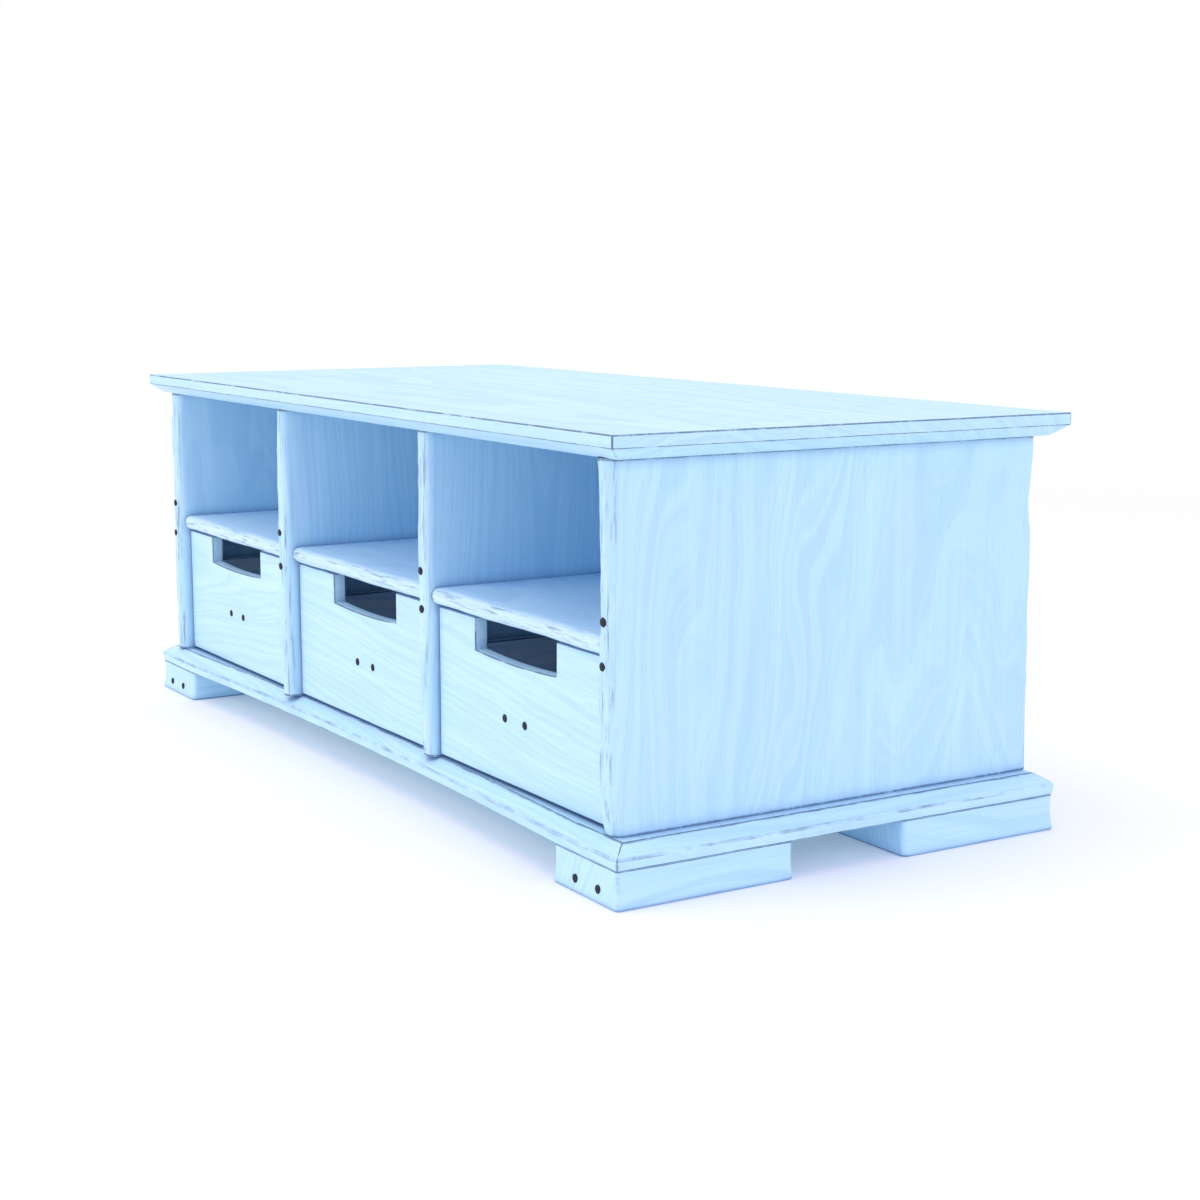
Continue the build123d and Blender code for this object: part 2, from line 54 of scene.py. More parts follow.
# ---- sizes ---------------------------------------------------------------------
TOP_EDGE = 12.5 * MM            # upright part of the top's edge
TOP_BEVEL_INSET = 15.5 * MM     # how far the bevel below it runs in
SLAB_ROUNDING = 11 * MM
SLAB_WEAR = (235 * MM, 255 * MM)        # distance from the middle where the edge's unevenness sets in
SHELF_ROUNDING = 8 * MM
SHELF_WEAR = (236 * MM, 248 * MM)
WANE = 16 * MM                  # no waney edge is cut deeper than this
RAIL_FLANGE = 45 * MM
RAIL_TOP_WEAR = 58 * MM         # the rails are worn uneven below this height
RAIL_BOTTOM = 37.8 * MM
PLINTH_CORNER = 4 * MM
CORNER_SHARE = 0.0075           # share of a rail's run that is spent going round each corner
BOW_DEPTH = 13 * MM             # the plinth's front is bowed in by this much at its middle
BOW_REACH = 480 * MM            # and runs straight again beyond this, at the feet
BOW_FADE = 80 * MM              # how deep into the bottom board's mesh the bow reaches
FOOT_ROUNDING = 6 * MM
FOOT_HEIGHTS = (
    [0.0, 0.25, 0.7, 1.3, 2.4, 4.0] + list(np.linspace(7, 34.5, 10)) + [36.4, 37.2, 37.6, 37.8]
)
NOTCH_SAG = 3 * MM
NOTCH_WIDTH = 165 * MM
NOTCH_BOTTOM = 191 * MM
NOTCH_FADE = 70 * MM            # how far below the notch the mesh follows its sag
DRAWER_EASING = 1.7 * MM
FINE_STEP = 4 * MM              # mesh spacing where an edge is waney
PLAIN_STEP = 12 * MM            # mesh spacing on flat faces
SLAB_COLUMNS = 42               # mesh columns across the flat face of a slab

# Moulding of the plinth, as (distance out from the bottom board's edge, height).
CHAMFER = ((0.0, 60 * MM), (15.2 * MM, 50.6 * MM))
NOSE = ((15.2 * MM, 50.6 * MM), (17.1 * MM, 48.9 * MM), (17.2 * MM, 46.5 * MM))
HOLLOW = ((17.2 * MM, 46.5 * MM), (14.9 * MM, 27 * MM), (17 * MM, 4 * MM))
TOE = ((17 * MM, 4 * MM), (16.9 * MM, 1.3 * MM), (16 * MM, 0.0))


# ---- mesh helpers --------------------------------------------------------------
def ripple(points, seed, wavelength, amplitude):
    """Smooth unevenness: a sum of seeded waves in all directions, about +-amplitude."""
    draw = np.random.RandomState(seed)
    total = np.zeros(len(points))
    for _ in range(7):
        direction = draw.normal(size=3)
        direction /= np.linalg.norm(direction)
        length = wavelength * draw.uniform(0.6, 1.8)
        phase = draw.uniform(0, 2 * math.pi)
        total += np.sin(points @ direction * (2 * math.pi / length) + phase)
    return amplitude * total / 2.6


def mark_edges(work):
    """Keeps, at each point, how tightly the surface turns outwards there, in radians per millimetre."""
    sharpness = work.verts.layers.float.new("sharpness")
    area = {face: face.calc_area() for face in work.faces}
    for edge in work.edges:
        if len(edge.link_faces) != 2 or not edge.is_convex:
            continue
        width = sum(area[face] for face in edge.link_faces) / (2 * max(edge.calc_length(), 1e-6))
        turn = edge.calc_face_angle(0.0) * MM / min(max(width, 0.4 * MM), 2 * MM)
        for vertex in edge.verts:
            vertex[sharpness] = max(vertex[sharpness], turn)


def make_piece(name, points, faces, body, nodes, smooth_angle=40):
    """Mesh object from points and faces, welded, shaded and tied to the frame."""
    mesh = bpy.data.meshes.new(name)
    mesh.from_pydata([tuple(p) for p in points], [], [tuple(f) for f in faces])
    work = bmesh.new()
    work.from_mesh(mesh)
    bmesh.ops.remove_doubles(work, verts=work.verts, dist=1e-6)
    bmesh.ops.dissolve_degenerate(work, edges=work.edges, dist=1e-7)
    bmesh.ops.recalc_face_normals(work, faces=work.faces)
    mark_edges(work)
    work.to_mesh(mesh)
    work.free()
    mesh.polygons.foreach_set("use_smooth", [True] * len(mesh.polygons))
    mesh.set_sharp_from_angle(angle=math.radians(smooth_angle))
    piece = bpy.data.objects.new(name, mesh)
    bpy.context.scene.collection.objects.link(piece)
    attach(piece, body)
    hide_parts(*nodes)
    return piece


def loft(sections):
    """Points and faces of a closed skin through equal closed outlines, capped at both ends."""
    rows, count = len(sections), len(sections[0])
    points = np.concatenate(sections)
    faces = []
    for row in range(rows - 1):
        for i in range(count):
            j = (i + 1) % count
            a, b = row * count, (row + 1) * count
            faces.append((a + i, a + j, b + j, b + i))
    faces.append(tuple(range(count)))
    faces.append(tuple((rows - 1) * count + i for i in reversed(range(count))))
    return points, faces


def in_fixed_order(faces):
    """The same faces, each from its lowest point on, sorted. A bevel gives them in any order."""
    turned = []
    for face in faces:
        first = face.index(min(face))
        turned.append(face[first:] + face[:first])
    return sorted(turned)


def stations(low, high, step, easing, cuts=()):
    """Places along one side of a board, close together near its eased edges and at its cuts."""
    near = easing * np.array([0, 0.3, 0.7, 1.0, 2.0])
    count = max(1, round((high - low - 2 * near[-1]) / step))
    middle = np.linspace(low + near[-1], high - near[-1], count + 1)
    places = np.concatenate([low + near[:-1], middle, (high - near[:-1])[::-1], cuts])
    return np.unique(places.round(6))


def box_skin(axes):
    """Points and faces of a box's surface, ruled at the given places along X, Y and Z."""
    points, faces = [], []
    for fixed in range(3):
        across, up = [a for a in range(3) if a != fixed]
        for end in (0, -1):
            grid_u, grid_v = np.meshgrid(axes[across], axes[up], indexing="ij")
            sheet = np.zeros(grid_u.shape + (3,))
            sheet[..., fixed] = axes[fixed][end]
            sheet[..., across] = grid_u
            sheet[..., up] = grid_v
            start = sum(len(p) for p in points)
            points.append(sheet.reshape(-1, 3))
            rows, columns = grid_u.shape
            for i in range(rows - 1):
                for j in range(columns - 1):
                    a = start + i * columns + j
                    faces.append((a, a + 1, a + columns + 1, a + columns))
    return np.concatenate(points), faces


def eased(points, low, high, radius):
    """Rounds the edges and corners of a box's surface."""
    core = np.clip(points, low + radius, high - radius)
    away = points - core
    length = np.linalg.norm(away, axis=1, keepdims=True)
    return np.where(length > 1e-9, core + radius * away / np.maximum(length, 1e-9), points)


def board(name, node, body, easing=1.0 * MM, wander=0.0, shape=None, seed=1, cuts=()):
    """Flat board over a CAD node's box, edges eased, its faces a touch uneven.

    cuts are extra heights at which the skin gets a row of points, for shape to bend it there.
    """
    low, high = (np.array(corner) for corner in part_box(node))
    radius = min(easing, 0.45 * (high - low).min())
    ruled = [stations(low[a], high[a], PLAIN_STEP, radius, cuts if a == 2 else ()) for a in range(3)]
    points, faces = box_skin(ruled)
    points = eased(points, low, high, radius)
    if shape:
        points = shape(points, low, high)
    if wander:
        thin = int(np.argmin(high - low))
        points[:, thin] += ripple(points, seed, 160 * MM, wander)
    return make_piece(name, points, faces, body, [node])


def arc_through(a, b, c, count):
    """Evenly spaced points on the arc from a through b to c, ends included."""
    (ax, ay), (bx, by), (cx, cy) = a, b, c
    d = 2 * (ax * (by - cy) + bx * (cy - ay) + cx * (ay - by))
    sq = [x * x + y * y for x, y in (a, b, c)]
    ux = (sq[0] * (by - cy) + sq[1] * (cy - ay) + sq[2] * (ay - by)) / d
    uy = (sq[0] * (cx - bx) + sq[1] * (ax - cx) + sq[2] * (bx - ax)) / d
    radius = math.hypot(ax - ux, ay - uy)
    angles = np.unwrap([math.atan2(y - uy, x - ux) for x, y in (a, b, c)])
    sweep = np.linspace(angles[0], angles[2], count)
    return [(ux + radius * math.cos(t), uy + radius * math.sin(t)) for t in sweep]


def edge_line(node, side, run, middle_of, half_band):
    """(places, y) of a CAD node's front or back edge, read from its mesh along axis run."""
    low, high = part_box(node)
    centre = (low[middle_of] + high[middle_of]) / 2
    places = {}
    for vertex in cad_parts[node].data.vertices:
        p = vertex.co
        near = p.y - low.y if side < 0 else high.y - p.y
        if abs(p[middle_of] - centre) < half_band and near < WANE:
            key = round(p[run], 4)
            places[key] = max(places.get(key, -1.0), side * p.y)
    keys = sorted(places)
    return keys, [side * places[k] for k in keys]


# ---- top -----------------------------------------------------------------------
def top_shape(points, low, high):
    """Draws the faces below the upright edge in along the bevel."""
    bevel_top = high[2] - TOP_EDGE
    drop = bevel_top - points[:, 2]
    slope = TOP_BEVEL_INSET / (bevel_top - low[2])
    blend = 0.6 * MM
    inset = slope * (drop + np.sqrt(drop * drop + blend * blend)) / 2
    points = points.copy()
    for axis in (0, 1):
        half = (high[axis] - low[axis]) / 2
        points[:, axis] *= (half - inset) / half
    return points


def build_top():
    bevel_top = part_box("top_panel")[1].z - TOP_EDGE
    cuts = bevel_top + MM * np.array([-2.0, -1.1, -0.5, -0.15, 0.15, 0.5, 1.1, 2.0])
    return board(
        "tabletop", "top_panel", "carcass",
        easing=1.8 * MM, wander=0.12 * MM, shape=top_shape, seed=11, cuts=cuts,
    )


# ---- slabs ---------------------------------------------------------------------
def slab_outline(x, half_thickness, front, back, rounding):
    """Closed outline of a slab at one height: long flat sides and round ends."""
    turns = np.radians(np.linspace(0, 90, 9))
    flat = half_thickness - rounding
    right = [(x + flat + rounding * math.sin(t), front + rounding - rounding * math.cos(t)) for t in turns]
    steps = np.linspace(front + rounding, back - rounding, SLAB_COLUMNS)[1:-1]
    right += [(x + half_thickness, y) for y in steps]
    right += [
        (x + flat + rounding * math.cos(t), back - rounding + rounding * math.sin(t)) for t in turns
    ]
    left = [(2 * x - px, py) for px, py in reversed(right)]
    return right + left


def build_slab(node, seed):
    low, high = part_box(node)
    x = (low.x + high.x) / 2
    half = (high.x - low.x) / 2
    front_z, front_y = edge_line(node, -1, 2, 0, 2.0 * MM)
    back_z, back_y = edge_line(node, 1, 2, 0, 2.0 * MM)
    heights = np.arange(low.z, high.z, FINE_STEP)
    heights = np.append(heights[:-1], high.z)
    sections = []
    for z in heights:
        outline = slab_outline(
            x, half, np.interp(z, front_z, front_y), np.interp(z, back_z, back_y), SLAB_ROUNDING
        )
        sections.append(np.array([(px, py, z) for px, py in outline]))
    points, faces = loft(sections)
    middle = (low.y + high.y) / 2
    begin, end = SLAB_WEAR
    edgeness = np.clip((np.abs(points[:, 1] - middle) - begin) / (end - begin), 0, 1)
    outward = np.sign(points[:, 1] - middle)
    points[:, 1] += outward * edgeness * ripple(points, seed, 34 * MM, 0.32 * MM)
    points[:, 1] += outward * edgeness * ripple(points, seed + 1, 12 * MM, 0.14 * MM)
    side = np.sign(points[:, 0] - x)
    points[:, 0] += side * ripple(points, seed + 2, 130 * MM, 0.12 * MM)
    points[:, 0] -= side * edgeness * np.abs(ripple(points, seed + 3, 26 * MM, 0.5 * MM))
    name = node.replace("_slab", "_upright")
    return make_piece(name, points, faces, "carcass", [node], 60)


# ---- shelves -------------------------------------------------------------------
def build_shelf(bay, seed):
    node = bay + "_shelf"
    low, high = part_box(node)
    line_x, line_y = edge_line(node, -1, 0, 2, 1.6 * MM)
    left, right = line_x[0], line_x[-1]
    places = np.linspace(left - 0.3 * MM, right + 0.3 * MM, round((right - left) / FINE_STEP))
    turns = np.radians(np.linspace(0, 90, 8))
    r = SHELF_ROUNDING
    sections = []
    for x in places:
        front = np.interp(x, line_x, line_y)
        upper = [(front + r - r * math.cos(t), high.z - r + r * math.sin(t)) for t in turns]
        lower = [(front + r - r * math.sin(t), low.z + r - r * math.cos(t)) for t in turns]
        depth = np.linspace(front + r, high.y, 30)[1:]
        outline = upper + [(y, high.z) for y in depth]
        outline += [(y, low.z) for y in reversed(depth)] + lower
        sections.append(np.array([(x, y, z) for y, z in outline]))
    points, faces = loft(sections)
    begin, end = SHELF_WEAR
    edgeness = np.clip((-begin - points[:, 1]) / (end - begin), 0, 1)
    points[:, 1] -= edgeness * ripple(points, seed, 30 * MM, 0.45 * MM)
    points[:, 2] += ripple(points, seed + 1, 140 * MM, 0.10 * MM)
    return make_piece(bay + "_shelf_board", points, faces, "carcass", [node], 55)


# ---- plinth --------------------------------------------------------------------
def moulding():
    """Dense outline of the whole moulding, from the top inner edge down to the floor."""
    start, end = np.array(CHAMFER[0]), np.array(CHAMFER[1])
    line = [tuple(start + share * (end - start)) for share in (0.0, 0.06, 0.3, 0.6, 0.9)]
    line += arc_through(*NOSE, 9)
    line += arc_through(*HOLLOW, 26)[1:]
    line += arc_through(*TOE, 7)[1:]
    return line


def out_at(z):
    """How far the moulding stands out at height z."""
    line = moulding()[::-1]
    return np.interp(z, [h for _, h in line], [out for out, _ in line])


def bowed(points, shares):
    """Moves points near the plinth's front inwards along its bow, each by its own share."""
    radius = (BOW_REACH ** 2 + BOW_DEPTH ** 2) / (2 * BOW_DEPTH)
    depth = np.sqrt(radius ** 2 - np.minimum(np.abs(points[:, 0]), BOW_REACH) ** 2) - radius + BOW_DEPTH
    moved = points.copy()
    moved[:, 1] += shares * depth
    return moved


def bowed_board(points, low, high):
    """Bows the front edge of the bottom board, less and less towards its back."""
    return bowed(points, np.clip(1 - (points[:, 1] - low[1]) / BOW_FADE, 0, 1))


def rail_section():
    """Closed outline of a base rail: moulded face, soffit, and the rebate for the board."""
    board_low, board_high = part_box("bottom_board")
    face = [(out, z) for out, z in moulding() if z > RAIL_BOTTOM + 1.2 * MM]
    face[0] = (0.5 * MM, face[0][1] - 0.7 * MM)
    toe = out_at(RAIL_BOTTOM)
    face += [(toe - 0.05 * MM, RAIL_BOTTOM + 0.9 * MM), (toe - 0.4 * MM, RAIL_BOTTOM + 0.35 * MM)]
    face += [(toe - 1.1 * MM, RAIL_BOTTOM)]
    inner = -RAIL_FLANGE
    soffit = [(toe + t * (inner - toe), RAIL_BOTTOM) for t in (0.3, 0.6, 0.98)]
    rebate = [(inner, board_low.z), (0, board_low.z), (0, board_high.z - 0.9 * MM)]
    return face + soffit + [(inner, RAIL_BOTTOM + 1 * MM)] + rebate


def rail_point(half_run, half_side, out, share):
    """Plan position on one rail, share 0 at its left mitre and 1 at its right one.

    The run is along the first axis; the outer face is on the negative side of the second.
    """
    nose = NOSE[-1][0]
    bend = PLINTH_CORNER - (nose - out)
    straight = 1 - 2 * CORNER_SHARE
    s = 2 * share - 1
    if bend <= 0:
        return s * (half_run + out), -(half_side + out)
    arc_start = half_run + nose - PLINTH_CORNER
    if abs(s) <= straight:
        return s / straight * arc_start, -(half_side + out)
    turn = math.radians(45) * (abs(s) - straight) / (1 - straight)
    run = arc_start + bend * math.sin(turn)
    side = half_side + nose - PLINTH_CORNER + bend * math.cos(turn)
    return math.copysign(run, s), -side


def build_rail(side, seed):
    half_x, half_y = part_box("bottom_board")[1].xy
    long_side = side in ("front", "back")
    half_run, half_side = (half_x, half_y) if long_side else (half_y, half_x)
    corner = np.linspace(0, CORNER_SHARE, 6)
    run = np.linspace(CORNER_SHARE, 1 - CORNER_SHARE, 90 if long_side else 44)
    shares = np.concatenate([corner, run[1:-1], 1 - corner[::-1]])
    section = rail_section()
    turn = {"front": 0, "right": 90, "back": 180, "left": 270}[side]
    c, s = round(math.cos(math.radians(turn))), round(math.sin(math.radians(turn)))
    sections = []
    for share in shares:
        ring = []
        for out, z in section:
            place, across = rail_point(half_run, half_side, out, share)
            ring.append((c * place - s * across, s * place + c * across, z))
        sections.append(np.array(ring))
    points, faces = loft(sections)
    if side == "front":
        inner = -half_side + RAIL_FLANGE
        points = bowed(points, np.clip((inner - points[:, 1]) / RAIL_FLANGE, 0, 1))
    uneven = (points[:, 2] < RAIL_TOP_WEAR) & (points[:, 2] > RAIL_BOTTOM + 0.1 * MM)
    wear = ripple(points, seed, 90 * MM, 0.22 * MM) * uneven
    axis = 1 if long_side else 0
    points[:, axis] += np.sign(points[:, axis]) * wear
    nodes = [side + "_base_rail"]
    return make_piece(side + "_moulding", points, faces, "carcass", nodes, 38)


def rounded_rectangle(x0, x1, y0, y1, radii, between):
    """Closed outline with its own radius at each corner, from the lower left round to the upper left.

    between is the number of points on each straight side.
    """
    corners = [(x0, y0, 180), (x1, y0, 270), (x1, y1, 0), (x0, y1, 90)]
    centres = []
    for (x, y, start), r in zip(corners, radii):
        cx = x + r if x == x0 else x - r
        cy = y + r if y == y0 else y - r
        centres.append((cx, cy, start, r))
    outline = []
    for i, (cx, cy, start, r) in enumerate(centres):
        for t in np.radians(np.linspace(start, start + 90, 7)):
            outline.append((cx + r * math.cos(t), cy + r * math.sin(t)))
        nx, ny, nstart, nr = centres[(i + 1) % 4]
        t = math.radians(nstart)
        (x, y), end_x, end_y = outline[-1], nx + nr * math.cos(t), ny + nr * math.sin(t)
        for share in np.linspace(0, 1, between + 2)[1:-1]:
            outline.append((x + share * (end_x - x), y + share * (end_y - y)))
    return outline


def build_foot(corner, seed):
    node = corner + "_foot"
    low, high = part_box(node)
    board_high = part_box("bottom_board")[1]
    sign_x = 1 if "right" in corner else -1
    sign_y = 1 if "back" in corner else -1
    inner_x = low.x if sign_x > 0 else high.x
    inner_y = low.y if sign_y > 0 else high.y
    top = RAIL_BOTTOM
    sections = []
    for millimetres in FOOT_HEIGHTS:
        z = min(millimetres * MM, top)
        out = out_at(z)
        tuck = 0.9 * max(0.0, 0.9 * MM - (top - z))
        ease = max(0.0, 1.2 * MM - z) + tuck
        outer_x = sign_x * (board_high.x + out - tuck)
        outer_y = sign_y * (board_high.y + out - tuck)
        near_x, near_y = inner_x + sign_x * ease, inner_y + sign_y * ease
        x0, x1 = sorted((outer_x, near_x))
        y0, y1 = sorted((outer_y, near_y))
        radii = []
        for cx, cy in ((-1, -1), (1, -1), (1, 1), (-1, 1)):
            radii.append(PLINTH_CORNER if (cx, cy) == (sign_x, sign_y) else FOOT_ROUNDING)
        outline = rounded_rectangle(x0, x1, y0, y1, radii, 14)
        sections.append(np.array([(px, py, z) for px, py in outline]))
    points, faces = loft(sections)
    rise = np.clip(points[:, 2] / (3 * MM), 0, 1) * np.clip((top - points[:, 2]) / (2 * MM), 0, 1)
    wear = ripple(points, seed, 60 * MM, 0.25 * MM) * rise
    points[:, 0] += np.sign(points[:, 0]) * wear
    return make_piece(corner + "_foot_block", points, faces, "carcass", [node], 45)


# ---- drawers -------------------------------------------------------------------
def smooth_step(t):
    t = np.clip(t, 0, 1)
    return t * t * (3 - 2 * t)


def peg_places(node):
    """Centre x, z, front y and radius of each peg in a CAD node of pegs."""
    groups = []
    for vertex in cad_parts[node].data.vertices:
        p = vertex.co
        for group in groups:
            if abs(p.x - group[0].x) < 11 * MM and abs(p.z - group[0].z) < 11 * MM:
                group.append(p)
                break
        else:
            groups.append([p])
    places = []
    for group in groups:
        xs, ys, zs = ([p[a] for p in group] for a in range(3))
        centre = ((min(xs) + max(xs)) / 2, (min(zs) + max(zs)) / 2)
        places.append((centre[0], centre[1], min(ys), (max(xs) - min(xs)) / 2))
    return sorted(places)


def build_pegs(name, node, body, seed):
    """Peg heads with a hand-cut dome, and a short shank that goes into the wood."""
    draw = np.random.RandomState(seed)
    profile = [(0.0, 0.0), (0.35, 0.08), (0.62, 0.25), (0.84, 0.55), (0.96, 1.0), (1.0, 1.7), (1.0, 8.0)]
    count = 20
    points, faces = [], []
    for x, z, front, radius in peg_places(node):
        around = np.linspace(0, 2 * math.pi, count, endpoint=False)
        facets = 1 + 0.035 * np.cos(6 * around + draw.uniform(0, 6))
        start = len(points)
        tilt = draw.uniform(-0.05, 0.05, 2)
        for share, depth in profile:
            for i in range(count):
                r = radius * share * facets[i]
                dx, dz = r * math.cos(around[i]), r * math.sin(around[i])
                y = front + depth * MM + (dx * tilt[0] + dz * tilt[1]) * (1 - depth / 8)
                points.append((x + dx, y, z + dz))
        for row in range(len(profile) - 1):
            for i in range(count):
                j = (i + 1) % count
                a, b = start + row * count, start + (row + 1) * count
                faces.append((a + i, a + j, b + j, b + i))
        last = start + (len(profile) - 1) * count
        faces.append(tuple(last + i for i in range(count)))
    return make_piece(name, points, faces, body, [node], 50)


def build_drawer_front(bay, seed):
    """Front board with its hand notch, all edges rounded over."""
    node = bay + "_drawer_front"
    low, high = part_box(node)
    pegs = peg_places(bay + "_drawer_pegs")
    centre = (pegs[0][0] + pegs[-1][0]) / 2
    x0, x1 = centre - NOTCH_WIDTH / 2, centre + NOTCH_WIDTH / 2
    columns = np.concatenate([
        np.linspace(low.x, x0, 12)[:-1], np.linspace(x0, x1, 22)[:-1], np.linspace(x1, high.x, 12),
    ])
    rows = np.concatenate([
        np.linspace(low.z, NOTCH_BOTTOM, 14)[:-1], np.linspace(NOTCH_BOTTOM, high.z, 5),
    ])
    work = bmesh.new()
    grid = {}
    for i, x in enumerate(columns):
        for j, z in enumerate(rows):
            share = (x - centre) / (NOTCH_WIDTH / 2)
            sag = NOTCH_SAG * max(0.0, 1 - share * share)
            fade = smooth_step((z - (NOTCH_BOTTOM - NOTCH_FADE)) / NOTCH_FADE)
            grid[i, j] = work.verts.new((x, low.y, z - sag * fade * (z <= NOTCH_BOTTOM + 1e-6)))
    for i in range(len(columns) - 1):
        for j in range(len(rows) - 1):
            across_notch = columns[i] > x0 - 1e-6 and columns[i + 1] < x1 + 1e-6
            if not (across_notch and rows[j] > NOTCH_BOTTOM - 1e-6):
                work.faces.new((grid[i, j], grid[i + 1, j], grid[i + 1, j + 1], grid[i, j + 1]))
    loose = [v for v in work.verts if not v.link_faces]
    bmesh.ops.delete(work, geom=loose, context="VERTS")
    made = bmesh.ops.extrude_face_region(work, geom=work.faces[:])
    moved = [g for g in made["geom"] if isinstance(g, bmesh.types.BMVert)]
    bmesh.ops.translate(work, verts=moved, vec=(0, high.y - low.y, 0))
    bmesh.ops.recalc_face_normals(work, faces=work.faces)
    right_angled = [
        e for e in work.edges if len(e.link_faces) == 2 and e.calc_face_angle() > math.radians(50)
    ]
    bmesh.ops.bevel(
        work, geom=right_angled, offset=DRAWER_EASING, segments=4, profile=0.5,
        affect="EDGES", clamp_overlap=True,
    )
    points = np.array([tuple(v.co) for v in work.verts])
    work.verts.index_update()
    faces = in_fixed_order([v.index for v in f.verts] for f in work.faces)
    work.free()
    points[:, 1] += ripple(points, seed, 120 * MM, 0.15 * MM)
    body = bay + "_drawer"
    return make_piece(bay + "_drawer_face", points, faces, body, [node], 50)


def build_drawer(bay, seed):
    body = bay + "_drawer"
    pieces = {bay + "_drawer_face": build_drawer_front(bay, seed)}
    easings = {"left_side": 1.6 * MM, "right_side": 1.6 * MM, "back": 1.2 * MM, "bottom": 0.5 * MM}
    for part, easing in easings.items():
        name = f"{body}_{part}_board"
        pieces[name] = board(name, f"{body}_{part}", body, easing=easing)
    return pieces


# ---- materials -----------------------------------------------------------------
PAINT_OUTSIDE = (0.555, 0.830, 0.955)
# A paler copy of the outside paint for the shelves: painted light that lifts the shade in the bays.
SHELF_PAINT_AND_LIGHT = (0.640, 0.850, 0.970)
# Near-white paint for the drawers' inner boards: paint plus painted light that brightens the shaded drawer
# insides.
DRAWER_INSIDE_PAINT_AND_LIGHT = (0.90, 0.95, 0.985)
UNDERCOAT = (0.055, 0.095, 0.150, 1)
# Painted shade: the deep blue that corners and creases darken towards.
CREVICE_SHADE = (0.15, 0.31, 0.52, 1)
PEG_WOOD = ((0.012, 0.014, 0.018, 1), (0.005, 0.006, 0.008, 1))
OAK = ((0.50, 0.34, 0.19, 1), (0.34, 0.21, 0.11, 1))
# Where a piece's broad rounded edge begins and ends, as distances from the middle of the depth.
ROUND_EDGES = {"_upright": (0.2475, 0.2560), "_shelf_board": (0.2430, 0.2490)}


class Nodes:
    """Short way to add shader nodes to one material."""

    def __init__(self, name):
        self.material = bpy.data.materials.new(name)
        self.material.use_nodes = True
        self.tree = self.material.node_tree
        self.shader = self.tree.nodes["Principled BSDF"]

    def add(self, kind, settings=None, **inputs):
        node = self.tree.nodes.new("ShaderNode" + kind)
        for key, value in (settings or {}).items():
            setattr(node, key, value)
        for key, value in inputs.items():
            self.put(node.inputs[key.replace("_", " ")], value)
        return node

    def put(self, socket, value):
        if isinstance(value, bpy.types.NodeSocket):
            self.tree.links.new(value, socket)
        else:
            socket.default_value = value

    def math(self, operation, a, b=0.0, clamp=False):
        node = self.add("Math", {"operation": operation, "use_clamp": clamp})
        self.put(node.inputs[0], a)
        self.put(node.inputs[1], b)
        return node.outputs[0]

    def spread(self, value, low, high, to_low=0.0, to_high=1.0):
        node = self.add("MapRange", {"clamp": True})
        for index, item in enumerate((value, low, high, to_low, to_high)):
            self.put(node.inputs[index], item)
        return node.outputs[0]

    def mix(self, share, a, b):
        node = self.add("Mix", {"data_type": "RGBA", "clamp_factor": True})
        self.put(node.inputs[0], share)
        self.put(node.inputs[6], a)
        self.put(node.inputs[7], b)
        return node.outputs[2]

    def place(self, scale, offset=(0, 0, 0), turn=(0, 0, 0)):
        where = self.add("TexCoord").outputs["Object"]
        moved = self.add("Mapping", {"vector_type": "POINT"})
        self.put(moved.inputs["Vector"], where)
        moved.inputs["Location"].default_value = offset
        moved.inputs["Rotation"].default_value = turn
        moved.inputs["Scale"].default_value = scale
        return moved.outputs[0]

    def noise(self, scale, detail=3.0, roughness=0.55, offset=(0, 0, 0)):
        node = self.add("TexNoise", Detail=detail, Roughness=roughness)
        self.put(node.inputs["Vector"], self.place(scale, offset))
        node.inputs["Scale"].default_value = 1.0
        return node.outputs["Fac"]

    def distance(self, a, b):
        """Length of the vector with these two parts."""
        square = self.math("ADD", self.math("POWER", a, 2), self.math("POWER", b, 2))
        return self.math("SQRT", square)

    def bump(self, height, distance, strength, normal=None):
        node = self.add("Bump", Height=height, Distance=distance, Strength=strength)
        if normal is not None:
            self.put(node.inputs["Normal"], normal)
        return node.outputs[0]


def along(axis, run, across):
    """Scale that is small along the grain and large across it."""
    return tuple(run if a == axis else across for a in range(3))


def wood_figure(n, axis, seed):
    """Growth rings, fibres and pores of a board whose grain runs along axis."""
    draw = np.random.RandomState(seed)
    across = [a for a in range(3) if a != axis]
    heart = draw.uniform(0.10, 0.22, 3) * draw.choice([-1, 1], 3)
    tilt = tuple(draw.uniform(-0.10, 0.10, 3))
    shift = tuple(draw.uniform(0, 40, 3))
    sway = n.add("TexNoise", Detail=2.0, Roughness=0.5)
    n.put(sway.inputs["Vector"], n.place(along(axis, 2.4, 9), shift))
    sway.inputs["Scale"].default_value = 1.0
    where = n.add("SeparateXYZ", Vector=n.place((1, 1, 1), tuple(heart), tilt))
    radius = n.distance(where.outputs[across[0]], where.outputs[across[1]])
    radius = n.math("ADD", radius, n.math("MULTIPLY", sway.outputs["Fac"], 0.055))
    growth = n.add("TexNoise", {"noise_dimensions": "1D"}, Scale=1.0, Detail=3.0, Roughness=0.6)
    n.put(growth.inputs["W"], n.math("MULTIPLY", radius, 150))
    rings = n.spread(growth.outputs["Fac"], 0.42, 0.60)
    fibres = n.noise(along(axis, 7, 560), 4, 0.62, shift)
    pores = n.noise(along(axis, 40, 1300), 2, 0.5, shift)
    return rings, fibres, pores, shift


